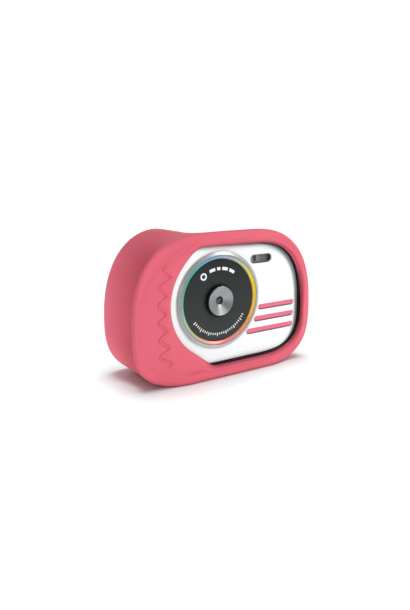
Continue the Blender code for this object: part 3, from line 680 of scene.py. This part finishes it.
def sleeve_ring(height, share, tuck, fall):
    """One ring of the sleeve's skin.

    height is how far in front, share how much of the rear bumper it has, tuck how far it has rounded in
    from the widest line (0) to the crest (1), and fall how much it falls back towards the sides.
    """
    points = []
    grip = sin(pi * share_of_depth(height) ** GRIP_LEAN) ** 2
    for ahead, behind in zip(FRONT_BUMPER.stations(), REAR_BUMPER.stations()):
        centre, wide, high, x_share, z_share = (a + (b - a) * share for a, b in zip(ahead, behind))
        waist = SIDE_WAIST * abs(x_share) ** WAIST_POWER
        if z_share > 0:
            waist += (TOP_WAIST - waist) * smooth(z_share**CORNER_WAIST)
        else:
            waist *= 1 - smooth(-z_share)
        tighter = (BUMPER_INSET - SIDE_INSET) * (1 - smooth(abs(z_share))) * (1 - share)
        back_off = tuck * (BUMPER_INSET - tighter) + waist * grip
        x = centre + (wide - back_off) * x_share
        z = WIDE + (high - back_off) * z_share
        if z_share > 0 and x > -SADDLE_HALF:
            dip = cos(pi * min(x, 0) / (2 * SADDLE_HALF)) ** 2
            z -= SADDLE * share * dip * smooth(2 * z_share - 1)
        drop = FALL_BOTTOM + (FALL_TOP - FALL_BOTTOM) * (1 + z_share) / 2
        points.append((x, z, height - drop * smooth(abs(x_share) / FALL_REACH) * fall))
    return points


def on_ray(outline, centre, towards):
    """Where the ray from the centre towards a point crosses an outline."""
    cx, cz = centre
    dx, dz = towards[0] - cx, towards[1] - cz
    for (ax, az), (bx, bz) in zip(outline, outline[1:] + outline[:1]):
        ex, ez = bx - ax, bz - az
        cross = dx * ez - dz * ex
        if abs(cross) < TINY:
            continue
        reach = ((ax - cx) * ez - (az - cz) * ex) / cross
        share = ((ax - cx) * dz - (az - cz) * dx) / cross
        if reach > 0 and -TINY <= share <= 1 + TINY:
            return cx + dx * reach, cz + dz * reach
    raise ValueError("the ray misses the outline")


PANEL_RECESS = 0.5  # how far the left panel lies behind the window's lip
LIP_ROUND = 0.7
SHARP_LIP_ROUND = 2.4  # more where the face between the window and the crest is narrow
MOST_LIP_DEPTH = 2.1
NARROW, BROADENING = 3.6, 5.0
RIDGE_FROM, RIDGE_RUN = -40.0, 14.0  # x at which the crease round the panel starts, and where it is whole
RIM = 3.0
CREASE_DEPTH = 0.35
CREASE_SHARE = 0.12  # of the rim's width


def front_face_rings(crest):
    """From the bottom of the window's wall, over its lip and the left panel, up to the bumper's crest."""
    window = lens_side_outline(side=44.9, top=64.3, bottom=6.1, radius=27.8)
    steps = 5
    lines = []
    for x, z, out in crest:
        edge = on_ray(window, WINDOW_CENTRE, (x, z))
        reach = dist(edge, (x, z))
        broad = smooth((reach - NARROW) / BROADENING)
        ridge = broad * smooth((x - RIDGE_FROM) / RIDGE_RUN)

        def face(away):
            return LIP + (out - LIP) * (away / reach) ** 2 - PANEL_RECESS * ridge

        roll = min(LIP_ROUND + SHARP_LIP_ROUND * (1 - broad), 0.72 * reach)
        roll_depth = min(roll, MOST_LIP_DEPTH)
        rim = min(RIM, (reach - roll) * 0.5)
        line = [(0, LIP - LIP_THICKNESS), (0, face(0) - roll_depth - 0.2)]
        for turn in quarter(steps):
            line.append((roll * (1 - cos(turn)), face(roll) - roll_depth * (1 - sin(turn))))
        end = reach - rim
        for share in (0.25, 0.5, 0.75, 0.93):
            place = roll + (end - roll) * share
            line.append((place, face(place)))
        for share, crease in ((0, CREASE_DEPTH), (CREASE_SHARE, 0.2 * CREASE_DEPTH)):
            line.append((end + share * rim, face(end) - crease * ridge))
        for step, turn in enumerate(quarter(steps)[1:], 1):
            place = end + rim * (CREASE_SHARE + (1 - CREASE_SHARE) * step / steps)
            line.append((place, face(place) + PANEL_RECESS * ridge * sin(turn)))
        across, up = (x - edge[0]) / reach, (z - edge[1]) / reach
        lines.append([(edge[0] + across * away, edge[1] + up * away, height) for away, height in line])
    return [list(ring) for ring in zip(*lines)]


def skin_rings():
    """From the front bumper's crest, over the finger grip, to the rear bumper's crest."""
    rings = []
    front_steps, grip_steps, rear_steps = 9, 22, 8
    for turn in quarter(front_steps)[1:-1]:
        aside, ahead = corner(turn, ROUND_POWER)
        rings.append(sleeve_ring(CREST - FRONT_ROUND * (1 - aside), 0, 1 - ahead, 1))
    front, rear = CREST - GRIP_START, REAR_ROUND - CREST
    rings.append(sleeve_ring(CREST - FRONT_ROUND, 0, 0, 1))
    for step in range(grip_steps + 1):
        share = (step / grip_steps) ** 1.5
        rings.append(sleeve_ring(front + (rear - front) * share, smooth(share), 0, 1 - smooth(3 * share)))
    for turn in quarter(rear_steps)[1:]:
        rings.append(sleeve_ring(rear - REAR_ROUND * sin(turn), 1, 1 - cos(turn), 0))
    return rings


def rear_rings(crest):
    """From the rear bumper's crest, over the rear window's lip, into the cavity and forwards along it."""
    edge = CASE.outline(REAR_LIP)
    rings = []
    for share, drop in ((0.35, 0.0), (0.7, 0.15), (0.9, 0.5), (1.0, 1.3)):
        ring = [(x + (ex - x) * share, z + (ez - z) * share) for (x, z, _), (ex, ez) in zip(crest, edge)]
        rings.append((ring, drop - CREST))
    behind, ahead = REAR_FACE - GAP, LIP - LIP_THICKNESS
    cavity = CASE.outline(-GAP)
    heights = (behind, behind + 1, 0, ahead - 1, ahead)
    return at_heights(rings + [(edge, behind)] + [(cavity, height) for height in heights])


def flared(outline, depth, flare, steps=4):
    """(outline, height) rows of a cutter whose mouth flares where it meets the sleeve's top."""
    mouth = SADDLE_TOP - flare
    rows = [(0.0, SADDLE_TOP - depth), (0.0, mouth)]
    for turn in quarter(steps)[1:]:
        rows.append((flare * (1 - cos(turn)), mouth + flare * sin(turn)))
    return grown_rings(outline, rows + [(flare + 4.0, SADDLE_TOP + 4.0)])


def make_sleeve():
    """The silicone bumper, with holes for the two top buttons and the port flap."""
    crest = sleeve_ring(CREST, 0, 1, 1)
    skin = skin_rings()
    mesh = loft(front_face_rings(crest) + skin + rear_rings(skin[-1]), loop=True)
    sleeve = piece("bumper_sleeve", mesh, "silicone", stands_for=["silicone_sleeve"], sharp=60)
    rounder = sleeve.modifiers.new("rounder", "SUBSURF")
    rounder.levels = rounder.render_levels = 1

    holes = bmesh.new()
    around = 0.8  # between a moving part and the sleeve
    for node, outline in (
        ("shutter_button", circle(5.4 + around, 64)),
        ("power_button", pill(9.0 + 2 * around, 5.0 + 2 * around)),
    ):
        place = middle(node)
        loft(flared(shifted(outline, place.x, place.y), depth=12.0, flare=0.8), mesh=holes)
    carve(sleeve, holes, UP, sharp=60)
    low, high = box_mm("port_flap")
    swing_room, lowered = 2.8, 0.4
    door = rounded(high.y - low.y + 2 * around, high.z - low.z + swing_room, 1.6)
    from_the_side = Matrix(((0, 0, 1, 0), (1, 0, 0, 0), (0, 1, 0, 0), (0, 0, 0, 1)))
    opening = grown_rings(door, [(0.0, 43.0), (0.0, 48.4), (0.25, 48.9), (0.9, 49.3), (6.0, 53.0)])
    place = (0, (low.y + high.y) / 2, (low.z + high.z) / 2 - lowered)
    carve(sleeve, loft(opening), from_the_side, place, sharp=60)


def make_grip_wave():
    """A raised wavy bead down the left panel, laid on the sleeve's face. It is narrowest beside the lens."""
    surface = BVHTree.FromObject(bpy.data.objects["bumper_sleeve"], bpy.context.evaluated_depsgraph_get())
    low, high, waves, steps = 10.0, 58.5, 6, 320
    half_width, proud, sunk, taper, round_steps = 0.5, 0.6, 0.6, 12, 8
    beside = 32.0  # from the lens axis to the middle of the wave, level with the lens
    swing, half_height = 1.8, 24.0
    bow_up, bow_down = 7.0, 1.6

    def place(share):
        z = low + (high - low) * share
        away = (z - LENS_Z) / half_height
        bow = (bow_up if away > 0 else bow_down) * away**2
        return LENS_X - beside + bow + (swing + away**2) * sin(tau * waves * share), z

    def on_face(x, z, out):
        return x, z, out - surface.ray_cast(Vector((x, -2 * CREST, z)) * MM, Vector((0, 1, 0)))[0].y / MM

    rings = []
    for step in range(steps + 1):
        (x, z), ahead = place(step / steps), place((step + 1) / steps)
        size = dist((x, z), ahead)
        aside = ((ahead[1] - z) / size, (x - ahead[0]) / size)
        end = math.sqrt(min(1.0, (min(step, steps - step) + 0.3) / taper))
        ring = []
        for number in range(round_steps + 1):
            turn = radians(180 * number / round_steps)
            across = half_width * end * cos(turn)
            ring.append((x + aside[0] * across, z + aside[1] * across, proud * end * sin(turn)))
        ring += [(*ring[-1][:2], -sunk), (*ring[0][:2], -sunk)]
        rings.append([on_face(*point) for point in ring])
    piece("grip_wave", loft(rings), "silicone", sharp=75)


# ---- the front


STRIPE_WIDTH = 2.6
PLATE_BACK = -box_mm("faceplate")[1].y
LENS_PLACE = (LENS_X, 0, LENS_Z)


def stripe_bars():
    """(left end, right end, height) of the three stripes, which end on a circle round the lens."""
    top, pitch, right, reach = 31.6, 5.9, 40.8, 25.0
    for row in range(3):
        height = top - pitch * row
        yield LENS_X + math.sqrt(reach**2 - (height - LENS_Z) ** 2), right, height


def through(outline, chamfer=0.15):
    """A cutter through the faceplate that breaks its front edge."""
    rows = ((0.0, PLATE_BACK - 2), (0.0, CASE_FACE - chamfer), (chamfer + 1.0, CASE_FACE + 1.0))
    return grown_rings(outline, rows)


def make_faceplate():
    """The glossy plate, whose edge rolls off further at its right end than beside the lens."""
    left_roll, right_roll, roll_depth, steps = 2.6, 4.8, 1.3, 16
    whole_at = 25.0  # x from which the roll is as wide as it gets
    lens_hole, level = 22.9, 0.9999
    outline = lens_side_outline(side=44.15, top=64.1, bottom=7.0, radius=30.0)
    inwards = [(ix - x, iz - z) for (x, z), (ix, iz) in zip(outline, grown(outline, -1.0))]
    rows = [(0.06, PLATE_BACK), (0.0, PLATE_BACK + 0.2)]
    for turn in quarter(steps):
        rows.append((1 - cos(turn), CASE_FACE - roll_depth * (1 - sin(turn))))
    rings = []
    for share, height in rows:
        ring = []
        for (x, z), (dx, dz) in zip(outline, inwards):
            inset = share * (left_roll + (right_roll - left_roll) * smooth(x / whole_at))
            ring.append((x + dx * inset, z + dz * inset, height))
        rings.append(ring)
    plate = piece("front_faceplate", loft(rings), "white", stands_for=["faceplate"], sharp=50)
    holes = bmesh.new()
    loft(through(shifted(circle(lens_hole, 128), LENS_X, LENS_Z)), mesh=holes)
    loft(through(shifted(pill(FLASH_LENGTH, FLASH_WIDTH), FLASH.x, FLASH.z)), mesh=holes)
    for left, right, height in stripe_bars():
        loft(through(shifted(pill(right - left, STRIPE_WIDTH), (left + right) / 2, height)), mesh=holes)
    carve(plate, holes, sharp=50)
    for polygon in plate.data.polygons:
        polygon.use_smooth = polygon.normal.y > -level


def make_stripes():
    """A pink insert behind the faceplate, with a bar in each slot."""
    low, high = box_mm("stripe_insert")
    gap, below_face = 0.3, 0.45
    back = shifted(rounded(high.x - low.x, high.z - low.z, 0.8), (low.x + high.x) / 2, (low.z + high.z) / 2)
    mesh = slab(back, -high.y, PLATE_BACK - GAP, 0.1)
    for left, right, height in stripe_bars():
        bar = shifted(pill(right - left - gap, STRIPE_WIDTH - gap), (left + right) / 2, height)
        slab(bar, -high.y + 0.2, CASE_FACE - below_face, 0.35, 4, mesh)
    piece("front_stripes", mesh, "stripe", stands_for=["stripe_insert"], sharp=60)


def make_lens_trim():
    """The turned pieces round the lens, each from its (radius, out) profile."""
    back, seat, rim = 14.6, 15.3, DISC_RADIUS
    bezel = [
        (18.0, back), (22.6, back), (22.6, 16.6), (23.6, 16.6), (23.6, 16.95), (21.95, 17.75), (21.8, 17.7),
        (21.8, 15.0), (18.0, 15.0),
    ]
    ring = [(20.1, seat), (21.6, seat), (21.6, 17.55), (20.1, 16.75)]
    disc = [
        (7.45, seat), (rim, seat), (rim, DISC_FACE - 0.05), (rim - 0.35, DISC_FACE), (8.1, DISC_FACE),
        (7.9, DISC_FACE - 0.3), (7.45, DISC_FACE - 0.3),
    ]
    cone = [(2.0, back), (7.05, back), (7.05, 18.3), (6.8, 18.5), (2.2, 16.95), (2.0, 16.8)]
    for name, profile, edge, look, node in (
        ("silver_bezel", bezel, 0.22, "silver", "lens_bezel"),
        ("colour_ring", ring, 0.1, "rainbow", "rainbow_ring"),
        ("dark_disc", disc, 0.06, "disc", "lens_disc"),
        ("spun_cone", cone, 0.08, "spun", "lens_cone"),
    ):
        piece(name, lathe(soften(profile, edge)), look, FRONT, LENS_PLACE, stands_for=[node])
    # A black collar round the cone's side. Its black stands in for the shade on the cone's raised side wall,
    # so it is painted shade.
    collar = [(7.1, back), (7.3, back), (7.3, 18.15), (7.1, 18.25)]
    piece("cone_collar", lathe(soften(collar, 0.05)), "black", FRONT, LENS_PLACE)
    dome = [(0, 15.4), (1.85, 15.4), (1.85, 15.9), (1.5, 16.15), (1.0, 16.3), (0.5, 16.38), (0, 16.4)]
    piece("front_lens", lathe(dome, 48), "glass", FRONT, LENS_PLACE, stands_for=["lens_window"])


def radial_bar(radius, degrees, wide, high, round_off):
    """A small bar at an angle on the disc, its height along the radius."""
    sine, cosine = sin(radians(degrees)), cos(radians(degrees))
    return [
        (sine * x + cosine * (radius + y), -cosine * x + sine * (radius + y))
        for x, y in rounded(wide, high, round_off, 4)
    ]


def make_disc_marks():
    """A ring and a row of dashes over the lens, and a scale of fine ticks under it."""
    foot, face = DISC_FACE - 0.1, DISC_FACE + 0.06
    mesh = lathe([(1.0, foot), (1.75, foot), (1.75, face), (1.0, face)], 40)
    ring_radius, ring_turn = 15.1, radians(126)
    ring_place = (ring_radius * cos(ring_turn), ring_radius * sin(ring_turn), 0)
    bmesh.ops.translate(mesh, vec=ring_place, verts=mesh.verts)
    for first, last in ((111, 99), (95, 88), (84, 72), (68, 56)):
        slab(band(14.6, 16.1, first, last, 10), foot, face, 0.05, 1, mesh)
    piece("upper_marks", mesh, "mark", FRONT, LENS_PLACE)

    mesh = bmesh.new()
    first, last, count, inner = 214, 328, 27, 15.9
    long_tick, short_tick, wide = 1.7, 1.1, 0.5
    for number in range(count):
        degrees = first + (last - first) * number / (count - 1)
        high = long_tick if number % 4 == 0 else short_tick
        slab(radial_bar(inner + high / 2, degrees, wide, high, 0.12), foot, face, 0.04, 1, mesh)
    piece("lower_ticks", mesh, "mark", FRONT, LENS_PLACE)


def make_flash():
    """A smoked, ribbed window in a sloping frame that is widest at its left end."""
    centre = (FLASH.x, 0, FLASH.z)
    face, back, shift = CASE_FACE - 0.25, 14.8, 1.1
    outer, inner = pill(FLASH_LENGTH - 0.4, FLASH_WIDTH - 0.4), shifted(pill(10.6, 3.3), shift, 0.15)
    rows = [(outer, back), (outer, face - 0.1), (grown(outer, -0.12), face), (inner, face - 1), (inner, back)]
    piece("flash_frame", loft(at_heights(rows), loop=True), "reflector", FRONT, centre)

    window = slab(shifted(pill(10.5, 3.2), shift, 0.0), 14.9, 15.15, 0.06)
    ribs, first, pitch = 9, -2.6, 0.62
    for number in range(ribs):
        slab(shifted(rounded(0.4, 2.5, 0.15, 3), first + pitch * number, 0), 15.0, 15.4, 0.12, 2, window)
    piece("flash_glass", window, "window", FRONT, centre, stands_for=["flash_window"])

    well = [(pill(13.2, 5.6), 10.0), (pill(13.2, 5.6), 14.4), (pill(11.4, 3.8), 14.4), (pill(9.6, 2.6), 11.4)]
    piece("flash_bowl", loft(at_heights(well)), "reflector", FRONT, centre, stands_for=["flash_reflector"])


# ---- buttons, flap and back


def make_top_buttons():
    """The round, dished shutter cap, and the power cap with its sign."""
    low, high = box_mm("shutter_button")
    place = middle("shutter_button")
    foot, crown, radius = low.z, high.z, (high.x - low.x) / 2
    flange, stem, under, dish = 3.6, 2.6, 66.0, 0.6
    profile = [
        (0, foot), (flange, foot), (flange, foot + 1), (stem, foot + 1), (stem, under), (radius, under),
        (radius, crown - 0.9), (radius - 0.7, crown), (0, crown - dish),
    ]
    cap = soften(profile, 0.35, 4)
    bowl = [(radius * share, crown - dish + dish * (share / 0.8) ** 2) for share in (0.7, 0.5, 0.3, 0.15)]
    mesh = lathe(cap[:-1] + bowl + cap[-1:])
    piece("shutter_cap", mesh, "key", UP, (place.x, place.y, 0), "shutter_button", ["shutter_button"])

    low, high = box_mm("power_button")
    place = middle("power_button")
    mesh = slab(pill(7.4, 4.6), low.z, low.z + 1, 0.15)
    slab(pill(5.6, 3.4), low.z + 0.5, under + 0.5, 0.1, 3, mesh)
    slab(pill(high.x - low.x, high.y - low.y), under, high.z, 0.6, 5, mesh)
    piece("power_cap", mesh, "key", UP, (place.x, place.y, 0), "power_button", ["power_button"])
    mesh = bmesh.new()
    for sign in (band(1.05, 0.75, 120, 420, 24), shifted(rounded(0.3, 1.1, 0.1, 3), 0, 0.75)):
        slab(sign, high.z - 0.1, high.z + 0.04, 0.02, 1, mesh)
    piece("power_icon", mesh, "icon", UP, (place.x, place.y, 0), "power_button")


def triangle(size, degrees):
    """An arrow head pointing this way."""
    return arc(0, 0, size, degrees, degrees + 240, 2)


def make_keys():
    """Domed keys on the back, each with a plain sign. BACK mirrors x, so left and right swap here."""
    icons = {
        "key_up": [triangle(0.95, 90)],
        "key_down": [triangle(0.95, 270)],
        "key_left": [triangle(0.95, 180)],
        "key_right": [triangle(0.95, 0)],
        "key_ok": [rounded(1.5, 1.5, 0.74, 8)],
        "key_menu": [shifted(rounded(2.0, 0.32, 0.12, 3), 0, y) for y in (-0.65, 0, 0.65)],
        "key_play": [triangle(1.1, 0)],
    }
    radius, flange_height, dome_drop = 3.1, 0.9, 0.55
    for name, signs in icons.items():
        low, high = box_mm(name)
        centre = (middle(name).x, 0, middle(name).z)
        crown, flange, foot = high.y, (high.x - low.x) / 2, low.y
        side = soften([
            (0, foot), (flange, foot), (flange, foot + flange_height), (radius, foot + flange_height),
            (radius, crown - 0.7), (radius * 0.9, crown - 0.45), (0, crown),
        ], 0.15)
        dome = [(radius * share, crown - dome_drop * share**2) for share in (0.8, 0.6, 0.4, 0.2)]
        mesh = lathe(side[:-1] + dome + side[-1:], 64)
        piece(f"{name}_cap", mesh, "key", BACK, centre, name, [name])
        mesh = bmesh.new()
        for outline in signs:
            slab(outline, crown - 0.5, crown + 0.03, 0.02, 1, mesh)
        piece(f"{name}_icon", mesh, "icon", BACK, centre, name)


def case_side(z):
    """How far out the hard case's side is at this height."""
    if z >= CASE.wide:
        end, power, flat = CASE.top, CASE.top_power, CASE.top_flat
    else:
        end, power, flat = CASE.bottom, CASE.bottom_power, CASE.bottom_flat
    share = (z - CASE.wide) / (end - CASE.wide)
    return flat + (CASE.side - flat) * (1 - share**power) ** (1 / power)


def make_port_flap():
    """The rubber door over the ports. It follows the case's side, and its top is thicker, for a nail."""
    low, high = box_mm("port_flap")
    steps = 28
    gap, thick, lip, lip_from, lip_run = 0.35, 1.55, 0.7, 4, 3
    heights = [low.z + (high.z - low.z) * step / steps for step in range(steps + 1)]
    inner = [(case_side(z) + gap, z) for z in heights]
    outer = [(case_side(z) + thick + lip * smooth((z - high.z + lip_from) / lip_run), z) for z in heights]
    mesh = slab(outer + inner[::-1], -high.y, -low.y, 0.3)
    piece("rubber_flap", mesh, "silicone", FRONT, (0, 0, 0), "port_flap", ["port_flap"], sharp=50)


def make_screen():
    """The glass over the display, and the picture area that shows through it."""
    low, high = box_mm("display_window")
    centre = (middle("display_window").x, 0, middle("display_window").z)
    glass = slab(rounded(high.x - low.x, high.z - low.z, 3.0), low.y, high.y)
    piece("rear_glass", glass, "screen", BACK, centre, stands_for=["display_window"])
    picture = slab(rounded(40.6, 30.5, 0.6), high.y - 0.05, high.y + 0.01, 0.004, 1)
    piece("screen_picture", picture, "panel", BACK, centre)


NODE_LOOKS = {
    "black": ["front_case", "rear_case", "lens_barrel", "lens_holder", "speaker"],
    "glass": ["inner_lens"],
    "led": ["flash_led"],
    "panel": ["lcd_module"],
    "board": ["main_board", "button_board", "sensor_board"],
    "chip": ["processor", "image_sensor", "memory_card"],
    "foil": ["battery"],
    "ribbon": ["lcd_ribbon", "sensor_ribbon"],
    "lamp": ["status_lamp"],
    "steel": ["usb_port", "card_socket", "microphone", "shutter_switch", "power_switch"]
    + [f"switch_{key}" for key in ("ok", "up", "left", "down", "right", "menu", "play")]
    + [f"case_screw_{number}" for number in range(1, 5)]
    + [f"board_screw_{number}" for number in (1, 2)],
}


def dress_nodes():
    for look, nodes in NODE_LOOKS.items():
        for name in nodes:
            materials = frame["nodes"][name].data.materials
            materials.clear()
            materials.append(LOOKS[look])


# ---- floor, light and camera


def make_floor():
    colour = (241, 251, 251)
    look = plain("pale_floor", colour, 0.6, blotch=0.004, blotch_size=400.0, grain=0.02, grain_size=4.0)
    mesh = bmesh.new()
    half, below = 4000.0, 0.05
    corners = ((-half, -half), (half, -half), (half, half), (-half, half))
    mesh.faces.new([mesh.verts.new((x, y, -below)) for x, y in corners])
    mesh.transform(Matrix.Scale(MM, 4))
    floor = object_from("floor", mesh)
    floor.data.materials.append(look)


def make_room():
    """A dim room, dimmer towards its left rear corner, and white low down behind the object."""
    world = bpy.data.worlds.new("studio")
    world.use_nodes = True
    room = Nodes(world.node_tree)
    direction = room.node("ShaderNodeTexCoord").outputs["Generated"]
    towards_corner = room.vector("DOT_PRODUCT", direction, (-0.94, 0.34, 0.0))
    dim = room.ranged(towards_corner, 0.45, 0.08, 0.4, 0.8)
    behind = room.ranged(room.split(direction)["Y"], 0.0, 0.61, 0.0, 0.4)
    low = room.ranged(room.split(direction)["Z"], 1.0, 0.0, 0.28, 0.5)
    white = room.maths("MULTIPLY", behind, low)
    background = room.tree.nodes["Background"]
    background.inputs["Color"].default_value = (1, 1, 1, 1)
    room.feed(room.maths("ADD", dim, white), background.inputs["Strength"])
    bpy.context.scene.world = world
    bpy.context.scene.view_settings.view_transform = "Standard"


def make_lights():
    """A key light from the right, a fill and light from above on the pieces, and a wash on the floor."""
    pieces, ground = bpy.data.collections.new("lit_pieces"), bpy.data.collections.new("lit_floor")
    for thing in bpy.context.scene.objects:
        if thing.type == "MESH":
            (ground if thing.name == "floor" else pieces).objects.link(thing)
    for name, energy, spread, towards, lit in (
        ("key", 1.0, 14, (1.1, -1.0, 1.0), pieces),
        ("fill", 0.46, 16, (-0.7, -1.0, 0.3), pieces),
        ("overhead", 0.46, 20, (0.28, -0.22, 1.0), pieces),
        ("floor_wash", 2.5, 34, (0.04, 0.03, 1.0), ground),
    ):
        data = bpy.data.lights.new(name, "SUN")
        data.energy = energy
        data.angle = radians(spread)
        light = add(name, data)
        light.rotation_euler = Vector(towards).to_track_quat("Z", "Y").to_euler()
        light.light_linking.receiver_collection = lit


def make_camera():
    """The view from the left of the lens and a little above."""
    data = bpy.data.cameras.new("view")
    data.sensor_width = 36.0
    data.lens = 32.84
    data.clip_start = 0.01
    camera = add("view", data)
    unit = 20.0  # the disc's nominal radius
    left, ahead, up = 7.414 * unit, 10.583 * unit, 2.976 * unit
    camera.location = Vector((LENS_X - left, -DISC_FACE - ahead, LENS_Z + up)) * MM
    turn, tilt = radians(-33.51), radians(13.45)
    back = Vector((sin(turn) * cos(tilt), -cos(turn) * cos(tilt), sin(tilt)))
    camera.rotation_euler = back.to_track_quat("Z", "Y").to_euler()
    bpy.context.scene.camera = camera


make_sleeve()
make_grip_wave()
make_faceplate()
make_stripes()
make_lens_trim()
make_disc_marks()
make_flash()
make_top_buttons()
make_keys()
make_port_flap()
make_screen()
dress_nodes()
make_floor()
make_room()
make_lights()
make_camera()
